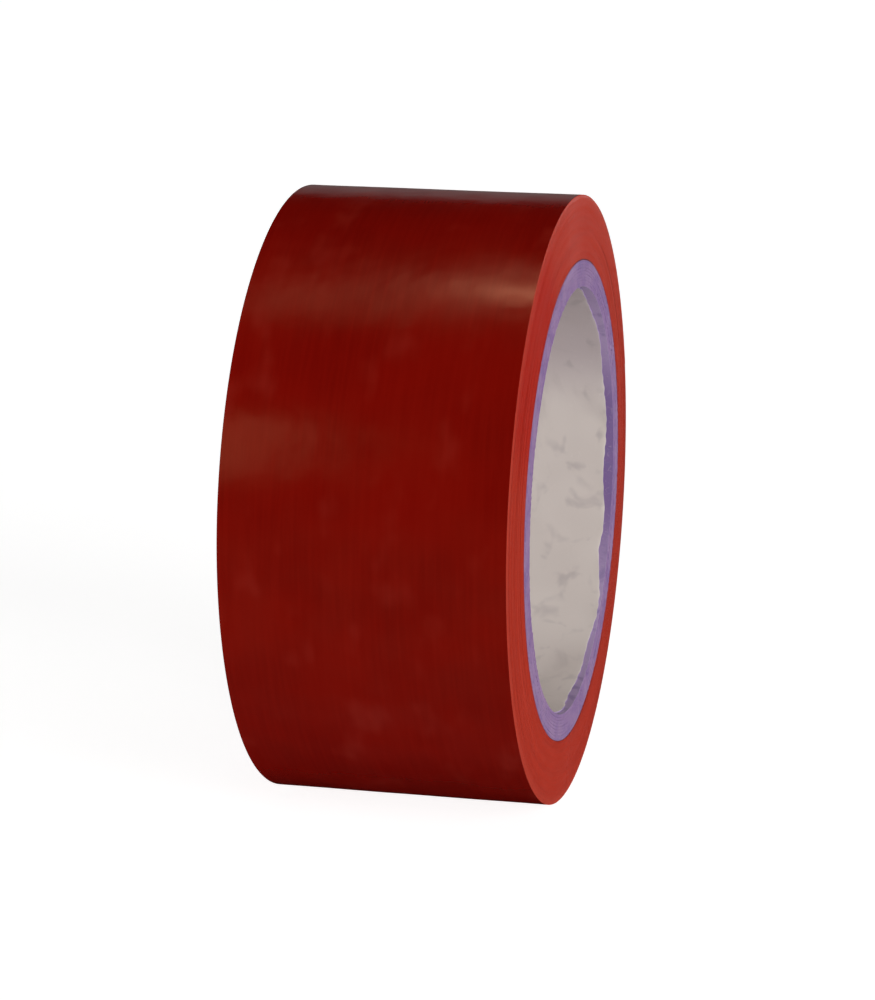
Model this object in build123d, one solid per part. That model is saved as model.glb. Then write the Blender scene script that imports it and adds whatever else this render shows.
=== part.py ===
from build123d import *
import os
from math import cos, pi, radians, sin

# A roll of vinyl electrical tape standing on its tread. X is the roll's axis, +Z is up, +Y is its
# back, and the origin is the centre of the bore. Sizes are millimetres. Angles are measured round
# the X axis from +Y towards +Z, and the tape is wound the other way, from the top down the back.

# Tape
tape_width = 50.0
film_thickness = 0.15
adhesive_thickness = 0.028
turn_thickness = film_thickness + adhesive_thickness
wound_turns = 63

# Soft vinyl wound tight is squeezed sideways, so each wound face bulges towards the core
face_bulge = 0.5

# Core: a paper tube of plies, each a strip wound in a helix with a butt seam
bore_radius = 38.1
liner_thickness = 0.30
board_thickness = 0.52
outer_paper_thickness = 0.25
board_plies = 8
glue_line = 0.04
seam_gap = 0.4
seam_lead = 136.0
first_seam_angle = 20.0
seam_stagger = 47.0
seam_overcut = 0.02

# Free end of the tape, in short lengths that hinge on one another
tail_root_angle = 68.0
tail_tip_angle = 15.0
tail_lengths = 5
tail_gap = 0.08
hinge_gap = 0.05
turn_gap = 0.02

core_radius = (
    bore_radius
    + liner_thickness
    + board_plies * board_thickness
    + outer_paper_thickness
    + (board_plies + 1) * glue_line
)
wound_inner_radius = core_radius + glue_line
wound_outer_radius = wound_inner_radius + wound_turns * turn_thickness
tail_radius = wound_outer_radius + turn_thickness + tail_gap
core_length = tape_width + 2 * face_bulge


def polar(radius, angle):
    """A point at this radius and angle, in the plane across the roll's axis."""
    return (radius * cos(radians(angle)), radius * sin(radians(angle)))


def along_axis(sketch, length):
    """Carry a shape drawn across the axis along it, for a length that is centred on the origin."""
    return extrude(Plane.YZ.offset(-length / 2) * sketch, amount=length)


def spiral_turn(radius):
    """One turn of the winding, from the tail's root round to it again, one thickness further out.

    It is two half circles whose centres are half a thickness apart, so they meet smoothly.
    """
    shift = turn_thickness / 2
    first = CenterArc((0, 0), radius, tail_root_angle, -180)
    second = CenterArc(polar(shift, tail_root_angle), radius + shift, tail_root_angle - 180, -180)
    return first + second


def step_between(inner, outer):
    """The short radial line at the tail's root that joins the ends of two turns."""
    return Line(polar(inner, tail_root_angle), polar(outer, tail_root_angle))


def closed_turn(radius):
    """A spiral turn closed by its own step, as a filled face."""
    return make_face(spiral_turn(radius) + step_between(radius, radius + turn_thickness))


def tube(inner, thickness):
    """A plain tube as long as the core."""
    return along_axis(Circle(inner + thickness) - Circle(inner), core_length)


def helical_seam(inner, thickness, angle):
    """The cutter for a butt seam: a narrow bar that twists round the axis as it crosses the core."""
    left_end = -core_length / 2
    middle = inner + thickness / 2
    bar = Pos(middle, 0) * Rectangle(thickness + 2 * seam_overcut, seam_gap)
    section = Plane.YZ.offset(left_end) * Rot(0, 0, angle) * bar
    twist = 360 * core_length / seam_lead
    return Solid.extrude_linear_with_rotation(
        section.face(), center=(left_end, 0, 0), normal=(core_length, 0, 0), angle=twist
    )


def board_ply(number):
    """One strip of board, counted from the bore outwards, with its seam staggered from the last."""
    pitch = board_thickness + glue_line
    inner = bore_radius + liner_thickness + glue_line + (number - 1) * pitch
    angle = first_seam_angle + number * seam_stagger
    return tube(inner, board_thickness) - helical_seam(inner, board_thickness, angle)


def outer_ply():
    """The smooth paper on the outside of the core, which the first turn of tape sticks to."""
    inner = core_radius - outer_paper_thickness
    return tube(inner, outer_paper_thickness) - helical_seam(inner, outer_paper_thickness, first_seam_angle)


def bulged_ring():
    """A ring as long as the core where it meets the core, and as the tape is wide at the tread."""
    inner = core_radius
    outer = wound_outer_radius + 2 * turn_thickness
    slope = face_bulge / (wound_outer_radius + turn_thickness - inner)
    right_edge = [(core_length / 2, inner), (core_length / 2 - slope * (outer - inner), outer)]
    left_edge = [(-x, radius) for x, radius in reversed(right_edge)]
    return revolve(make_face(Polyline(*right_edge, *left_edge, close=True)), Axis.X)


def wound_tape():
    """Every turn that is under the outer one. Both its outlines step where a turn begins."""
    outline = closed_turn(wound_outer_radius) - closed_turn(wound_inner_radius)
    return along_axis(outline, core_length) & bulged_ring()


def outer_turn():
    """The last whole turn. It starts where the turn below it ends, and its end is the tail's root."""
    outside = closed_turn(wound_outer_radius + turn_thickness)
    return along_axis(outside - closed_turn(wound_outer_radius + turn_gap), tape_width)


def tail_layer(number, inner, thickness):
    """One layer of a length of the free end, counted from the root, short of its hinge lines."""
    span = (tail_root_angle - tail_tip_angle) / tail_lengths
    trim = hinge_gap / 2 / tail_radius * 180 / pi
    start = tail_root_angle - (number - 1) * span - trim
    sweep = span - 2 * trim
    outline = CenterArc((0, 0), inner, start, -sweep)
    outline += CenterArc((0, 0), inner + thickness, start, -sweep)
    outline += Line(polar(inner, start), polar(inner + thickness, start))
    outline += Line(polar(inner, start - sweep), polar(inner + thickness, start - sweep))
    return along_axis(make_face(outline), tape_width)


def save(node, shape):
    export_step(shape, f"parts/{node}.step")


os.makedirs("parts", exist_ok=True)

save("core_liner_ply", tube(bore_radius, liner_thickness))
for number in range(1, board_plies + 1):
    save(f"core_ply_{number}", board_ply(number))
save("core_outer_ply", outer_ply())

save("wound_tape", wound_tape())
save("outer_turn", outer_turn())
for number in range(1, tail_lengths + 1):
    save(f"tail_adhesive_{number}", tail_layer(number, tail_radius, adhesive_thickness))
    save(f"tail_film_{number}", tail_layer(number, tail_radius + adhesive_thickness, film_thickness))
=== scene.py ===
import math

import bpy
import numpy as np
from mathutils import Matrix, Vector


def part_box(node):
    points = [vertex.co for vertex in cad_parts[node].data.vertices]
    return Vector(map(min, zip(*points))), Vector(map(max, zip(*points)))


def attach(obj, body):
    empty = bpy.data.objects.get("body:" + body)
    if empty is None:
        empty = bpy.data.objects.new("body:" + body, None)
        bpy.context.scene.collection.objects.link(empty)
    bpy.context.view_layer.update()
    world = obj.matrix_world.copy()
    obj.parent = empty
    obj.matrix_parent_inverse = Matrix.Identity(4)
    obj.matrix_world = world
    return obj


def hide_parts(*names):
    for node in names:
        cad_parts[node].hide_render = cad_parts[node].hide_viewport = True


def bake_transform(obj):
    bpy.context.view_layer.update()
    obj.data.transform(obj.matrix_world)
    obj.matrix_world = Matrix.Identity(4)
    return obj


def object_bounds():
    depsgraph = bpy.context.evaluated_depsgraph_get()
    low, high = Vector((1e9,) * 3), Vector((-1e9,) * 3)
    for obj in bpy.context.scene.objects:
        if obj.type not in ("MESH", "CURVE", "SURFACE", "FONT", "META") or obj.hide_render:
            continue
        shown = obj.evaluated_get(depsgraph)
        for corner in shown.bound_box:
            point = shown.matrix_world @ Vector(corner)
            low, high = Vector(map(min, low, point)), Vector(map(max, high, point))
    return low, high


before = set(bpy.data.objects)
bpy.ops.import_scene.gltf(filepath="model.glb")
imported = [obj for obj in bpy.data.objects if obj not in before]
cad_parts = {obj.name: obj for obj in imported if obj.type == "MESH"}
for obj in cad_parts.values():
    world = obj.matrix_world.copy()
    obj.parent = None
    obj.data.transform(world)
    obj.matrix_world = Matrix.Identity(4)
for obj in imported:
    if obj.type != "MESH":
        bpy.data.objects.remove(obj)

# The looks of a roll of vinyl electrical tape on a spiral-wound paper core. Metres. X is the roll's
# axis and +Z is up. Angles are in degrees round the X axis, from +Y (the back) towards +Z. The tape
# is wound the other way, so its wound angle grows as the angle falls, from zero at the tail's root.

CAD_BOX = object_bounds()
MM = 0.001

# The core, as the frame has it
GLUE_LINE = 0.04 * MM
BORE_RADIUS = 38.1 * MM
LINER = 0.30 * MM
BOARD = 0.52 * MM
OUTER_PAPER = 0.25 * MM
BOARD_PLIES = 8
SEAM_LEAD = 136.0 * MM
SEAM_GAP = 0.4 * MM
FIRST_SEAM_ANGLE = 20.0
SEAM_STAGGER = 47.0
CORE_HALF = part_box("core_ply_1")[1].x
BOARD_STACK = BOARD_PLIES * BOARD + (BOARD_PLIES + 1) * GLUE_LINE
CORE_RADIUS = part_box("core_liner_ply")[1].z + BOARD_STACK + OUTER_PAPER

# The winding, as the frame has it
FILM = 0.15 * MM
ADHESIVE = 0.028 * MM
TURN = FILM + ADHESIVE
WOUND_TURNS = 63
LAST_WOUND = (WOUND_TURNS + 1) * 360
ROOT_ANGLE = 68.0
TAIL_SWEEP = 53.0
TAIL_LENGTHS = 5
TAIL_GAP = 0.08 * MM
TREAD_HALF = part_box("outer_turn")[1].x
WOUND_START = CORE_RADIUS + GLUE_LINE
ROLL_RADIUS = WOUND_START + (WOUND_TURNS + 1) * TURN

# Clearances between the turns, which keep their surfaces from lying in one another
RELEASE = 0.006 * MM
ADHESIVE_RECESS = 0.006 * MM

# The tread's edge is rounded over this much of the radius, by this much along the axis
SHOULDER = 0.6 * MM
SHOULDER_DROP = 0.09 * MM

# The tail eases off the roll over the first of these angles, and curls up over the last
TAIL_EASE = 6
TIP_CURL = 9
TIP_LIFT = 0.12 * MM

# The liner's torn edge: how far back it is without its waves, and the least that it can be
TEAR_DEPTH = 0.85 * MM
LEAST_TEAR = 0.12 * MM

# Fingers reach into the bore from both ends, so its marks grow over this much from the middle
FINGER_DEPTH = 16 * MM

# A darker, deeper red sector of the wound face, round a spot at its upper front
FACE_DEEP_SPOT = (TREAD_HALF, -35 * MM, 33 * MM)
FACE_DEEP_REACH = 29 * MM

# Linear colours
FILM_RED_DEEP = (0.212, 0.0032, 0.0011)
FILM_RED = (0.25, 0.0042, 0.0014)
FILM_RED_LIGHT = (0.285, 0.0065, 0.0028)
FILM_HAZE = (0.33, 0.022, 0.014)
EDGE_RED_DEEP = (0.50, 0.030, 0.012)
EDGE_RED = (0.60, 0.046, 0.022)
EDGE_RED_ORANGE = (0.57, 0.033, 0.010)
# Pale red, for scuffs and for the painted highlight along the outer rim of the wound faces
EDGE_RED_SCUFF_AND_HIGHLIGHT = (0.64, 0.078, 0.048)
EDGE_RED_DARKER = (0.51, 0.014, 0.004)
ADHESIVE_DEEP = (0.15, 0.006, 0.004)
ADHESIVE_RED = (0.21, 0.010, 0.006)
BOARD_VIOLET = (0.275, 0.165, 0.365)
BOARD_LAVENDER = (0.355, 0.225, 0.405)
BOARD_DEEP = (0.205, 0.13, 0.29)
BOARD_PALE = (0.49, 0.38, 0.51)
BOARD_BLUE = (0.22, 0.165, 0.36)
TORN_DEEP = (0.24, 0.155, 0.355)
# Pale lavender for the painted light towards the top and the bottom of the torn board
TORN_PAINTED_LIGHT = (0.46, 0.345, 0.56)
LINER_GREY = (0.70, 0.63, 0.59)
LINER_BEIGE = (0.79, 0.72, 0.675)
LINER_SMUDGE = (0.53, 0.465, 0.45)
LINER_PALE = (0.82, 0.76, 0.72)
# Lilac grey for the painted shade near the top of the bore
LINER_LILAC_SHADE = (0.55, 0.475, 0.485)
LINER_GRIME = (0.40, 0.35, 0.36)

# The camera: angles in degrees, the distance in metres and the lens in millimetres
CAMERA_AZIMUTH = 13.36
CAMERA_ELEVATION = 13.98
CAMERA_DISTANCE = 0.6465
CAMERA_LENS = 128.43
CAMERA_SHIFT = (0.0017, -0.0074)


# ---------------------------------------------------------------- shapes by formula

def waves(seed, size, lowest, highest, count=9, closed=True):
    """A smooth random function of an angle in degrees, as a few sine waves.

    lowest and highest are its waves per turn. closed makes them whole, so that it meets itself.
    """
    rng = np.random.default_rng(seed)
    per_turn = rng.uniform(lowest, highest, count)
    if closed:
        per_turn = np.round(per_turn)
    phase = rng.uniform(0, 2 * math.pi, count)
    share = rng.uniform(0.5, 1.0, count)
    share *= size / math.sqrt((share ** 2).sum() / 2)

    def value(angle):
        return (share * np.sin(np.radians(angle)[..., None] * per_turn + phase)).sum(-1)

    return value


def ripples(seed, size, across, around, count=14):
    """A smooth random function of the place across the width and the angle, as a few plane waves.

    across is the most waves per width, and around the most per turn. It meets itself after a turn.
    """
    rng = np.random.default_rng(seed)
    per_width = rng.uniform(-across, across, count) * math.pi / TREAD_HALF
    per_turn = rng.integers(0, around + 1, count)
    phase = rng.uniform(0, 2 * math.pi, count)
    share = np.full(count, size * math.sqrt(2 / count))

    def value(x, angle):
        turned = np.radians(angle)[..., None] * per_turn
        return (share * np.sin(x[..., None] * per_width + turned + phase)).sum(-1)

    return value


def bump_at(angle, middle, width):
    """A smooth hump of height 1 at an angle, width degrees wide, that takes angles past a turn."""
    away = (np.asarray(angle) - middle + 180) % 360 - 180
    return np.exp(-(away / width) ** 2)


def eased(value):
    """0 to 1, level at both ends, for a value from 0 to 1. It holds at each end."""
    held = np.clip(value, 0, 1)
    return held * held * (3 - 2 * held)


def placed(x, radius, angle):
    """Points in the frame, from places along the axis, radii and angles."""
    x, radius, turned = np.broadcast_arrays(x, radius, np.radians(angle))
    return np.stack([x, radius * np.cos(turned), radius * np.sin(turned)], axis=-1)


def stations(count, edge, fine):
    """Places from -1 to 1 with fine more of them in the last edge at each end."""
    near = np.linspace(0, edge, fine, endpoint=False)
    middle = np.linspace(edge, 2 - edge, count)
    return np.concatenate([near, middle, 2 - near[::-1]]) - 1


# ---------------------------------------------------------------- meshes

def band_mesh(name, inside, outside, closed, slots=(0, 0, 0)):
    """A closed mesh between two sheets of points, inside[i, j] and outside[i, j].

    i runs round the axis as the tape is wound, and j from the left face to the right face. A band
    that isn't closed has an end at its first i and its last. slots are the material indices of the
    inside, the outside and the faces between them.
    """
    loops = np.concatenate([inside, outside[:, ::-1]], axis=1)
    length, loop = loops.shape[:2]
    half = loop // 2
    rows = length if closed else length - 1
    i = np.arange(rows)[:, None]
    j = np.arange(loop)[None, :]
    corners = [i * loop + j, (i + 1) % length * loop + j]
    corners += [(i + 1) % length * loop + (j + 1) % loop, i * loop + (j + 1) % loop]
    faces = np.stack(np.broadcast_arrays(*corners), axis=-1).reshape(-1, 4)
    strip_slots = np.full(loop, slots[2])
    strip_slots[:half - 1] = slots[0]
    strip_slots[half:loop - 1] = slots[1]
    face_slots = np.tile(strip_slots, rows)
    if not closed:
        k = np.arange(half - 1)
        first_end = np.stack([k, k + 1, loop - 2 - k, loop - 1 - k], axis=-1)
        last_end = (length - 1) * loop + first_end[:, ::-1]
        faces = np.concatenate([faces, first_end, last_end])
        face_slots = np.concatenate([face_slots, np.full(2 * (half - 1), slots[2])])
    mesh = bpy.data.meshes.new(name)
    mesh.vertices.add(length * loop)
    mesh.vertices.foreach_set("co", loops.astype(np.float32).ravel())
    mesh.loops.add(faces.size)
    mesh.loops.foreach_set("vertex_index", faces.astype(np.int32).ravel())
    mesh.polygons.add(len(faces))
    mesh.polygons.foreach_set("loop_start", np.arange(0, faces.size, 4, dtype=np.int32))
    mesh.polygons.foreach_set("material_index", face_slots.astype(np.int32))
    mesh.update(calc_edges=True)
    mesh.validate()
    mesh.shade_smooth()
    mesh.set_sharp_from_angle(angle=math.radians(40))
    piece = bpy.data.objects.new(name, mesh)
    bpy.context.scene.collection.objects.link(piece)
    return piece


def dress(piece, slot, replaced, *materials):
    """Gives a piece its materials and hides the CAD node that it stands for. slot is not used."""
    for material in materials:
        piece.data.materials.append(material)
    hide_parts(replaced)
    return piece


# ---------------------------------------------------------------- materials

def add_node(material, kind, inputs=None, **settings):
    """Adds a shader node. settings are its properties, and inputs its sockets' values or links."""
    made = material.node_tree.nodes.new(kind)
    for name, value in settings.items():
        setattr(made, name, value)
    for socket, value in (inputs or {}).items():
        if isinstance(value, bpy.types.NodeSocket):
            material.node_tree.links.new(value, made.inputs[socket])
        else:
            made.inputs[socket].default_value = value
    return made


def new_material(name, **shader_values):
    """A material whose even values are set on the shader itself."""
    material = bpy.data.materials.new(name)
    material.use_nodes = True
    shader = material.node_tree.nodes["Principled BSDF"]
    for socket, value in shader_values.items():
        shader.inputs[socket.replace("_", " ")].default_value = value
    return material


def feed(material, socket, source):
    """Links a source to a socket of the material's shader."""
    shader = material.node_tree.nodes["Principled BSDF"]
    material.node_tree.links.new(source, shader.inputs[socket])


def frame_place(material, scale=(1, 1, 1)):
    """The place in the frame, stretched by a scale for each axis."""
    place = add_node(material, "ShaderNodeTexCoord").outputs["Object"]
    return add_node(material, "ShaderNodeVectorMath", {0: place, 1: scale}, operation="MULTIPLY").outputs[0]


def ring_place(material, per_radius, per_place):
    """A place whose first part is the distance from the axis, so that a noise makes rings."""
    place = add_node(material, "ShaderNodeTexCoord").outputs["Object"]
    across = add_node(material, "ShaderNodeVectorMath", {0: place, 1: (0, 1, 1)}, operation="MULTIPLY")
    radius = add_node(material, "ShaderNodeVectorMath", {0: across.outputs[0]}, operation="LENGTH")
    split = add_node(material, "ShaderNodeSeparateXYZ", {0: across.outputs[0]})
    joined = add_node(material, "ShaderNodeCombineXYZ",
                      {0: radius.outputs["Value"], 1: split.outputs[1], 2: split.outputs[2]})
    scale = (per_radius, per_place, per_place)
    return add_node(material, "ShaderNodeVectorMath", {0: joined.outputs[0], 1: scale},
                    operation="MULTIPLY").outputs[0]


def noise(material, place, scale=1.0, detail=3.0, roughness=0.55, distortion=0.0):
    """A noise of 0 to 1. At a scale of 1000 its features are about a millimetre across."""
    inputs = {"Vector": place, "Scale": scale, "Detail": detail, "Roughness": roughness,
              "Distortion": distortion}
    return add_node(material, "ShaderNodeTexNoise", inputs).outputs["Fac"]


def spread(material, value, low, high, to_low=0.0, to_high=1.0):
    """Takes a value from the range low..high to another range, levelling off at both ends."""
    inputs = {"Value": value, "From Min": low, "From Max": high, "To Min": to_low, "To Max": to_high}
    return add_node(material, "ShaderNodeMapRange", inputs, interpolation_type="SMOOTHSTEP").outputs["Result"]


def blend_colours(material, factor, first, second):
    """A colour between two, which may be colours or sockets."""
    mix = add_node(material, "ShaderNodeMix", data_type="RGBA")
    sockets = {"Factor_Float": factor, "A_Color": first, "B_Color": second}
    for socket in mix.inputs:
        if socket.identifier in sockets:
            value = sockets[socket.identifier]
            if isinstance(value, bpy.types.NodeSocket):
                material.node_tree.links.new(value, socket)
            else:
                socket.default_value = (*value, 1) if len(value) == 3 else value
    return next(out for out in mix.outputs if out.identifier == "Result_Color")


def bumped(material, height, depth, normal=None):
    """A bump from a height of 0 to 1 that is depth deep, over another bump if there is one."""
    inputs = {"Height": height, "Distance": depth, "Strength": 1.0}
    if normal is not None:
        inputs["Normal"] = normal
    return add_node(material, "ShaderNodeBump", inputs).outputs["Normal"]


def film_material():
    """The back of the film: dark red calendered vinyl with a soft gloss."""
    material = new_material("vinyl_film", IOR=1.5, Specular_Tint=(1.0, 0.50, 0.30, 1.0))
    clouds = noise(material, frame_place(material), scale=55, detail=2)
    smears = noise(material, frame_place(material), scale=130, detail=2)
    drawn = noise(material, frame_place(material, (1, 0.04, 0.04)), scale=1500, detail=3)
    grain = noise(material, frame_place(material), scale=2200, detail=2)
    colour = blend_colours(material, spread(material, clouds, 0.3, 0.7), FILM_RED_DEEP, FILM_RED)
    colour = blend_colours(material, spread(material, drawn, 0.35, 0.75, 0, 0.35), colour, FILM_RED_LIGHT)
    haze = noise(material, frame_place(material, (1, 0.6, 0.6)), scale=125, detail=2)
    colour = blend_colours(material, spread(material, haze, 0.54, 0.8, 0, 0.5), colour, FILM_HAZE)
    feed(material, "Base Color", colour)
    feed(material, "Roughness", spread(material, smears, 0.2, 0.8, 0.18, 0.265))
    soft = bumped(material, smears, 0.11 * MM, bumped(material, clouds, 0.25 * MM))
    lines = bumped(material, drawn, 0.002 * MM, soft)
    feed(material, "Normal", bumped(material, grain, 0.0015 * MM, lines))
    return material


def edge_material():
    """The slit edges of the turns: brighter and duller than the film's back, in faint rings, with a painted
    highlight along the outer rim.
    """
    material = new_material("slit_edge", IOR=1.5, Specular_IOR_Level=0.2, Specular_Tint=(1.0, 0.5, 0.4, 1.0))
    turns = noise(material, ring_place(material, 5200, 60), detail=2)
    bands = noise(material, ring_place(material, 700, 22), detail=3)
    scuffs = noise(material, frame_place(material), scale=420, detail=5)
    colour = blend_colours(material, spread(material, turns, 0.3, 0.7), EDGE_RED_DEEP, EDGE_RED)
    colour = blend_colours(material, spread(material, bands, 0.35, 0.7, 0, 0.6), colour, EDGE_RED_ORANGE)
    colour = blend_colours(material, spread(material, scuffs, 0.55, 0.8, 0, 0.35), colour, EDGE_RED_SCUFF_AND_HIGHLIGHT)
    # Darker, deeper red round a spot at the upper front of the face.
    deeper_sector = near_spot(material, wobbly_place(material, 120, 8 * MM), FACE_DEEP_SPOT, FACE_DEEP_REACH)
    colour = blend_colours(material, spread(material, deeper_sector, 0, 0.6, 0, 0.9), colour, EDGE_RED_DARKER)
    # Painted highlight: the face turns paler over the last 2.2 mm to its outer rim.
    radius = add_node(material, "ShaderNodeSeparateXYZ", {0: ring_place(material, 1, 1)}).outputs["X"]
    painted_rim_highlight = spread(material, radius, ROLL_RADIUS - 2.2 * MM, ROLL_RADIUS, 0, 0.45)
    colour = blend_colours(material, painted_rim_highlight, colour, EDGE_RED_SCUFF_AND_HIGHLIGHT)
    feed(material, "Base Color", colour)
    feed(material, "Roughness", spread(material, bands, 0.3, 0.7, 0.55, 0.70))
    rings = bumped(material, turns, 0.006 * MM)
    feed(material, "Normal", bumped(material, scuffs, 0.01 * MM, rings))
    return material


def adhesive_material():
    """The underside of the free end: a tacky coat with a fine pebble from the turn that it was on."""
    material = new_material("adhesive", IOR=1.5)
    pebble = noise(material, frame_place(material), scale=1700, detail=4)
    clouds = noise(material, frame_place(material, (1, 0.3, 0.3)), scale=160, detail=3)
    feed(material, "Base Color", blend_colours(material, spread(material, clouds, 0.3, 0.7),
                                               ADHESIVE_DEEP, ADHESIVE_RED))
    feed(material, "Roughness", spread(material, pebble, 0.3, 0.7, 0.28, 0.5))
    feed(material, "Normal", bumped(material, pebble, 0.012 * MM))
    return material


def board_material():
    """Lavender core board: fibres, flecks and a mottled dye."""
    material = new_material("core_board", IOR=1.45, Roughness=0.88, Specular_IOR_Level=0.25)
    clouds = noise(material, frame_place(material), scale=210, detail=4)
    fibres = noise(material, frame_place(material), scale=1500, detail=5, distortion=1.2)
    layers = noise(material, ring_place(material, 3800, 80), detail=3)
    blots = noise(material, frame_place(material), scale=480, detail=3, distortion=0.7)
    colour = blend_colours(material, spread(material, clouds, 0.32, 0.68), BOARD_VIOLET, BOARD_LAVENDER)
    colour = blend_colours(material, spread(material, layers, 0.42, 0.7, 0, 0.25), colour, BOARD_DEEP)
    colour = blend_colours(material, spread(material, blots, 0.52, 0.72, 0, 0.5), colour, BOARD_BLUE)
    colour = blend_colours(material, spread(material, fibres, 0.56, 0.72, 0, 0.5), colour, BOARD_PALE)
    feed(material, "Base Color", colour)
    rough = bumped(material, layers, 0.03 * MM)
    feed(material, "Normal", bumped(material, fibres, 0.04 * MM, rough))
    return material


def torn_board_material():
    """The board that the liner tore away from: fuzzy, with painted light that makes it paler towards the top
    and the bottom.
    """
    material = new_material("torn_board", IOR=1.45, Roughness=0.92, Specular_IOR_Level=0.2)
    fibres = noise(material, frame_place(material), scale=1100, detail=5, distortion=1.4)
    blots = noise(material, frame_place(material), scale=330, detail=4, distortion=0.6)
    height = add_node(material, "ShaderNodeSeparateXYZ", {0: frame_place(material)}).outputs["Z"]
    off_middle = add_node(material, "ShaderNodeMath", {0: height}, operation="ABSOLUTE").outputs[0]
    # Painted light: paler from 8 mm to 26 mm above and below the middle.
    colour = blend_colours(material, spread(material, off_middle, 8 * MM, 26 * MM), TORN_DEEP, TORN_PAINTED_LIGHT)
    colour = blend_colours(material, spread(material, blots, 0.5, 0.7, 0, 0.5), colour, BOARD_BLUE)
    colour = blend_colours(material, spread(material, fibres, 0.56, 0.74, 0, 0.5), colour, BOARD_PALE)
    feed(material, "Base Color", colour)
    feed(material, "Normal", bumped(material, fibres, 0.06 * MM))
    return material


def wobbly_place(material, scale, reach):
    """The place in the frame, pushed about by a noise, so that a round mark gets an uneven outline."""
    wobble = add_node(material, "ShaderNodeTexNoise", {"Vector": frame_place(material), "Scale": scale})
    centred = add_node(material, "ShaderNodeVectorMath", {0: wobble.outputs["Color"], 1: (0.5, 0.5, 0.5)},
                       operation="SUBTRACT")
    push = add_node(material, "ShaderNodeVectorMath", {0: centred.outputs[0], 1: (reach, reach, reach)},
                    operation="MULTIPLY")
    return add_node(material, "ShaderNodeVectorMath", {0: frame_place(material), 1: push.outputs[0]},
                    operation="ADD").outputs[0]


def near_spot(material, place, spot, reach):
    """1 at a spot, falling to 0 at its reach."""
    away = add_node(material, "ShaderNodeVectorMath", {0: place, 1: tuple(spot)}, operation="DISTANCE")
    return spread(material, away.outputs["Value"], 0, reach, 1, 0)


def liner_material():
    """The paper that lines the bore: grey-beige, with painted shade that makes it darker and lilac near the
    top, handled and smudged.
    """
    material = new_material("liner_paper", IOR=1.45, Roughness=0.8, Specular_IOR_Level=0.3)
    smudges = noise(material, frame_place(material, (1, 0.8, 0.6)), scale=120, detail=3, distortion=0.6)
    tone = noise(material, frame_place(material), scale=45, detail=2)
    fibres = noise(material, frame_place(material), scale=1300, detail=5, distortion=0.8)
    patches = noise(material, frame_place(material), scale=210, detail=2, distortion=0.5)
    height = add_node(material, "ShaderNodeSeparateXYZ", {0: frame_place(material)}).outputs["Z"]
    colour = blend_colours(material, spread(material, tone, 0.3, 0.7), LINER_GREY, LINER_BEIGE)
    # Painted shade: darker and lilac towards the top of the bore.
    colour = blend_colours(material, spread(material, height, 6 * MM, 22 * MM, 0, 0.9), colour, LINER_LILAC_SHADE)
    colour = blend_colours(material, spread(material, smudges, 0.56, 0.74, 0, 0.45), colour, LINER_SMUDGE)
    along = add_node(material, "ShaderNodeSeparateXYZ", {0: frame_place(material)}).outputs["X"]
    from_middle = add_node(material, "ShaderNodeMath", {0: along}, operation="ABSOLUTE").outputs[0]
    handled = spread(material, from_middle, 0, FINGER_DEPTH, 0.1, 1)
    marks = spread(material, patches, 0.55, 0.75, 0, 0.4)
    marked = add_node(material, "ShaderNodeMath", {0: marks, 1: handled}, operation="MULTIPLY").outputs[0]
    colour = blend_colours(material, marked, colour, LINER_GRIME)
    colour = blend_colours(material, spread(material, fibres, 0.6, 0.8, 0, 0.3), colour, LINER_PALE)
    feed(material, "Base Color", colour)
    feed(material, "Normal", bumped(material, fibres, 0.012 * MM))
    return material


def floor_material(name, pale, glow):
    """A plain pale floor that glows a little, so that it stays pale and its shadows stay soft."""
    return new_material(name, Base_Color=(pale, pale, pale, 1), Roughness=0.9, Specular_IOR_Level=0.0,
                        Emission_Color=(1, 1, 1, 1), Emission_Strength=glow)


film = film_material()
slit_edge = edge_material()
adhesive = adhesive_material()
board = board_material()
torn_board = torn_board_material()
liner_paper = liner_material()


# ---------------------------------------------------------------- core

def seam_angle(ply, x):
    """Where a ply's helical seam is, at a place along the axis. The plies are staggered."""
    return FIRST_SEAM_ANGLE + ply * SEAM_STAGGER + 360 * (x + CORE_HALF) / SEAM_LEAD


def paper_ply(name, replaced, ply, inner, thickness, slot, inner_side=0):
    """One strip of the core, once round, with its butt seam open and its slit edges a little rough.

    inner_side picks the material of the side towards the bore: 0 is plain board and 1 torn board.
    """
    steps = 900
    across = stations(14, 0.006, 3) * CORE_HALF
    gap = math.degrees(SEAM_GAP / inner)
    round_share = np.linspace(0, 1, steps)[:, None]
    x = np.broadcast_to(across, (steps, len(across))).copy()
    angle = seam_angle(ply, x) - gap / 2 - round_share * (360 - gap)
    rough = waves(100 + ply, 0.02 * MM, 40, 260, count=30, closed=False)
    slow = waves(200 + ply, 0.02 * MM, 2, 11, closed=False)
    along = angle[:, :1]
    edge_pull = rough(along[:, 0]) + slow(along[:, 0]) - 0.03 * MM
    nearness = eased((np.abs(x) / CORE_HALF - 0.99) / 0.01)
    x = x + np.sign(x) * nearness * edge_pull[:, None]
    rounding = 0.02 * MM * eased((np.abs(across) / CORE_HALF - 0.997) / 0.003)
    fuzz = waves(300 + ply, 0.005 * MM, 30, 220, count=24, closed=False)(angle)
    inside = placed(x, inner + rounding + fuzz * nearness, angle)
    outside = placed(x, inner + thickness + 0.8 * GLUE_LINE - rounding, angle)
    piece = band_mesh(name, inside, outside, closed=False, slots=(inner_side, 0, 0))
    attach(dress(piece, slot, replaced, board, torn_board), "roll")


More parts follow.
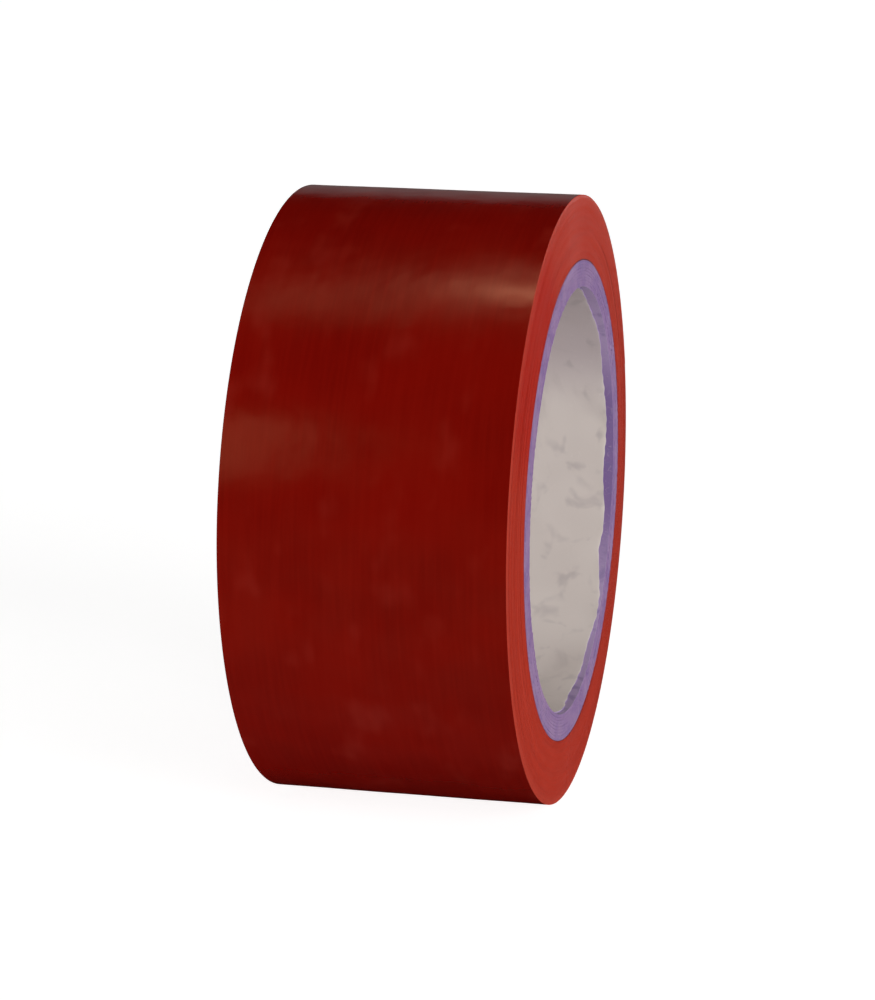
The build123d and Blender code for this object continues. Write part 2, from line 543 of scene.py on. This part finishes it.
def torn_back(angle, side):
    """How far the liner has torn back from one face of the core, which is side 1 or -1."""
    seed = 400 + side
    depth = TEAR_DEPTH + waves(seed, 0.16 * MM, 5, 16)(angle)
    depth = depth + waves(seed + 9, 0.045 * MM, 30, 120, 24)(angle)
    if side > 0:
        depth = depth + 0.9 * MM * bump_at(angle, 56, 22) + 0.6 * MM * bump_at(angle, -28, 6)
        depth = depth + 0.6 * MM * bump_at(angle, -80, 16) - 0.35 * MM * bump_at(angle, -47, 9)
        depth = depth + 1.0 * MM * bump_at(angle, -6, 13) + 0.4 * MM * bump_at(angle, 24, 14)
    return np.maximum(depth, LEAST_TEAR)


def liner():
    """The paper that faces the bore, torn at both ends and lapped over itself along a helix."""
    steps = 1150
    across = stations(26, 0.05, 8)
    angle = -np.linspace(0, 360, steps, endpoint=False)[:, None] + np.zeros(len(across))
    right = CORE_HALF - torn_back(angle, 1)
    left = CORE_HALF - torn_back(angle, -1)
    x = np.where(across > 0, across * right, across * left)
    from_edge = np.where(across > 0, right - x, left + x)
    lap_width = 6 * MM
    lap_height = 0.08 * MM
    lap_angle = 150 - 360 * (CORE_HALF - x) / SEAM_LEAD
    past_lap = (angle - lap_angle) % 360 * math.radians(1) * BORE_RADIUS
    lap = lap_height * (1 - eased((past_lap - lap_width) / (2 * MM)))
    wrinkles = ripples(31, 0.03 * MM, 5, 24, count=30)(x, angle)
    curl = waves(32, 0.05 * MM, 6, 40, count=16)(angle) * np.exp(-from_edge / (0.5 * MM))
    feather = 0.04 * MM * np.exp(-from_edge / (0.12 * MM))
    inside = placed(x, BORE_RADIUS - lap + wrinkles + curl + feather, angle)
    outside = placed(x, BORE_RADIUS + LINER + 0 * x, angle)
    piece = band_mesh("bore_liner", inside, outside, closed=True, slots=(0, 0, 1))
    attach(dress(piece, "liner_paper", "core_liner_ply", liner_paper, torn_board), "roll")


def core():
    """The liner, the board plies from the bore outwards, and the outer paper."""
    liner()
    pitch = BOARD + GLUE_LINE
    first = BORE_RADIUS + LINER + GLUE_LINE
    for ply in range(1, BOARD_PLIES + 1):
        inner = first + (ply - 1) * pitch
        inner_side = 1 if ply == 1 else 0
        paper_ply(f"board_strip_{ply}", f"core_ply_{ply}", ply, inner, BOARD, "core_board", inner_side)
    inner = CORE_RADIUS - OUTER_PAPER
    paper_ply("outer_paper_strip", "core_outer_ply", 0, inner, OUTER_PAPER, "outer_paper")


core()


# ---------------------------------------------------------------- tape

side_drift = {side: waves(60 + side, 0.007 * MM, 0.03, 2.4, count=16, closed=False) for side in (-1, 1)}
tread_swell = ripples(71, 0.016 * MM, 3, 9)
tread_grain = ripples(72, 0.003 * MM, 16, 60, count=40)


def face_place(side, wound, radius, recess):
    """Where a turn's slit edge is on one face, which bulges to the core and is rounded by the tread."""
    depth = np.clip((ROLL_RADIUS - radius) / (ROLL_RADIUS - CORE_RADIUS), 0, 1)
    over = np.clip((radius - (ROLL_RADIUS - SHOULDER)) / SHOULDER, 0, 1)
    half = TREAD_HALF + (CORE_HALF - TREAD_HALF) * depth - SHOULDER_DROP * over ** 2
    return side * (half + side_drift[side](wound) - recess)


def tape_layer(wound, lift, thickness, recess, across, relief=None):
    """One layer of the tape along its wound angles, lift above the spiral's own radius."""
    angle = (ROOT_ANGLE - wound)[:, None]
    inner = (WOUND_START + TURN * wound / 360 + lift)[:, None]
    outer = inner + np.broadcast_to(thickness, wound.shape)[:, None]

    def x_at(radius):
        left = face_place(-1, wound[:, None], radius, recess)
        right = face_place(1, wound[:, None], radius, recess)
        return left + (right - left) * (across + 1) / 2

    inside = placed(x_at(inner), inner, angle)
    x = x_at(outer)
    swell = relief(x, angle + 0 * x) if relief else 0
    outside = placed(x, outer + swell, angle)
    return inside, outside


def tread_relief(x, angle):
    """The slight unevenness of the outer turn, which follows every turn under it."""
    return tread_swell(x, angle) + tread_grain(x, angle)


def wound_turns():
    """Every turn under the outer one, as one long strip of film on one long coat of adhesive.

    The first turn lies on the core all the way round, on a coat that fills the wedge under it.
    """
    steps_per_turn = 240
    wound = np.linspace(0, WOUND_TURNS * 360, WOUND_TURNS * steps_per_turn + 1)
    across = np.array([-1.0, 1.0])
    bedding = np.where(wound < 360, TURN * wound / 360, 0)
    coat = tape_layer(wound, -bedding, ADHESIVE - RELEASE + bedding, ADHESIVE_RECESS, across)
    strip = tape_layer(wound, ADHESIVE, FILM - RELEASE / 2, 0, across)
    piece = band_mesh("wound_adhesive", *coat, closed=False)
    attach(dress(piece, "adhesive", "wound_tape", adhesive), "roll")
    piece = band_mesh("wound_film", *strip, closed=False, slots=(0, 0, 1))
    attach(dress(piece, "vinyl_film", "wound_tape", film, slit_edge), "roll")


def outer_turn():
    """The last whole turn, whose back is the tread."""
    wound = np.linspace(WOUND_TURNS * 360, LAST_WOUND, 900)
    across = stations(40, 0.01, 4)
    lift = np.full(wound.shape, RELEASE)
    coat = tape_layer(wound, lift, ADHESIVE - 2 * RELEASE, ADHESIVE_RECESS, across)
    strip = tape_layer(wound, lift + ADHESIVE, FILM - RELEASE, 0, across, tread_relief)
    piece = band_mesh("outer_adhesive", *coat, closed=False)
    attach(dress(piece, "adhesive", "outer_turn", adhesive), "roll")
    piece = band_mesh("outer_film", *strip, closed=False, slots=(0, 0, 1))
    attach(dress(piece, "vinyl_film", "outer_turn", film, slit_edge), "roll")


def free_end():
    """The end of the tape, in the lengths that peel. Each starts where the length before it ends."""
    span = TAIL_SWEEP / TAIL_LENGTHS
    hinge_radius = WOUND_START + LAST_WOUND / 360 * TURN + TAIL_GAP + TURN
    across = stations(40, 0.01, 4)
    for number in range(1, TAIL_LENGTHS + 1):
        past_root = np.linspace((number - 1) * span, number * span, 25)
        wound = LAST_WOUND + past_root
        lift = RELEASE + (TAIL_GAP - RELEASE) * eased(past_root / TAIL_EASE)
        lift = lift + TIP_LIFT * np.clip((past_root - TAIL_SWEEP + TIP_CURL) / TIP_CURL, 0, 1) ** 2
        start, end = placed(0, hinge_radius, ROOT_ANGLE - past_root[[0, -1]])
        coat = tape_layer(wound, lift, ADHESIVE, ADHESIVE_RECESS, across)
        strip = tape_layer(wound, lift + ADHESIVE, FILM, 0, across, tread_relief)
        piece = band_mesh(f"free_end_adhesive_{number}", *coat, closed=False)
        dress(piece, "adhesive", f"tail_adhesive_{number}", adhesive)
        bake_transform(piece)
        piece = band_mesh(f"free_end_film_{number}", *strip, closed=False, slots=(0, 0, 1))
        dress(piece, "vinyl_film", f"tail_film_{number}", film, slit_edge)
        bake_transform(piece)


wound_turns()
outer_turn()
free_end()


# ---------------------------------------------------------------- studio

def direction(azimuth, elevation):
    """The way from the object to a light or the camera. Azimuth 0 is the front, and 90 the right."""
    a, e = math.radians(azimuth), math.radians(elevation)
    return Vector((math.sin(a) * math.cos(e), -math.cos(a) * math.cos(e), math.sin(e)))


def aimed(item, towards_object_from):
    """Turns a light or a camera to look back along a direction from the object."""
    item.rotation_euler = towards_object_from.to_track_quat("Z", "Y").to_euler()
    bpy.context.scene.collection.objects.link(item)
    return item


def soft_sun(name, azimuth, elevation, strength, spread_degrees, glare=True):
    """A large soft light far away, which lights the floor evenly. glare lets glossy things show it."""
    light = bpy.data.lights.new(name, "SUN")
    light.energy = strength
    light.angle = math.radians(spread_degrees)
    aimed(bpy.data.objects.new(name, light), direction(azimuth, elevation)).visible_glossy = glare


def softbox(name, place, target, size, power, colour):
    """A small soft light, at a place, that faces a target. It makes one glint on the tread."""
    light = bpy.data.lights.new(name, "AREA")
    light.shape = "RECTANGLE"
    light.size, light.size_y = size
    light.energy = power
    light.color = colour
    box = aimed(bpy.data.objects.new(name, light), Vector(place) - Vector(target))
    box.location = place
    box.visible_camera = False


def plane(name, height, material):
    """A large level square for the stage."""
    mesh = bpy.data.meshes.new(name)
    reach = 8.0
    signs = [(-1, -1), (1, -1), (1, 1), (-1, 1)]
    corners = [(x * reach, y * reach, height) for x, y in signs]
    mesh.from_pydata(corners, [], [(0, 1, 2, 3)])
    mesh.materials.append(material)
    made = bpy.data.objects.new(name, mesh)
    made.visible_glossy = False
    bpy.context.scene.collection.objects.link(made)
    return made


def floor():
    """The floor that is seen under the tread, and a dimmer one under it that lights the object."""
    seen = plane("floor", CAD_BOX[0].z - 0.05 * MM, floor_material("pale_floor", 0.45, 0.90))
    seen.visible_diffuse = False
    bounce = plane("floor_bounce", CAD_BOX[0].z - 1 * MM, floor_material("floor_bounce", 0.5, 0.47))
    bounce.visible_camera = False


def studio():
    """A white backdrop that lights nothing, and the lights."""
    world = bpy.data.worlds.new("studio")
    bpy.context.scene.world = world
    world.use_nodes = True
    background = world.node_tree.nodes["Background"]
    background.inputs["Color"].default_value = (1, 1, 1, 1)
    background.inputs["Strength"].default_value = 1.0
    world.cycles_visibility.diffuse = False
    world.cycles_visibility.glossy = False
    soft_sun("key_right", 50, 15, 2.34, 40, glare=False)
    soft_sun("fill_right", 80, 8, 0.22, 36)
    soft_sun("back_right", 165, 12, 0.66, 30)
    soft_sun("back_rim", -166, 7, 0.018, 22)
    soft_sun("left_side", -95, 5, 0.77, 30)
    softbox("overhead_wide", (-0.094, 0.010, 0.49), (0, -0.033, 0.043),
            (0.29, 0.05), 0.041, (1, 0.86, 0.66))
    softbox("overhead_near", (0.036, -0.022, 0.163), (0.036, -0.022, 0),
            (0.10, 0.018), 0.024, (1, 0.86, 0.66))
    softbox("low_left", (-0.077, -0.180, 0.087), (-0.028, -0.051, 0.019),
            (0.05, 0.065), 0.011, (1, 0.85, 0.7))


def camera():
    """The camera, level, to the right of the front and a little above."""
    lens = bpy.data.cameras.new("camera")
    lens.lens = CAMERA_LENS
    lens.shift_x, lens.shift_y = CAMERA_SHIFT
    lens.clip_start = 0.01
    away = direction(CAMERA_AZIMUTH, CAMERA_ELEVATION)
    eye = aimed(bpy.data.objects.new("camera", lens), away)
    eye.location = away * CAMERA_DISTANCE
    bpy.context.scene.camera = eye


floor()
studio()
camera()
bpy.context.scene.view_settings.view_transform = "Standard"
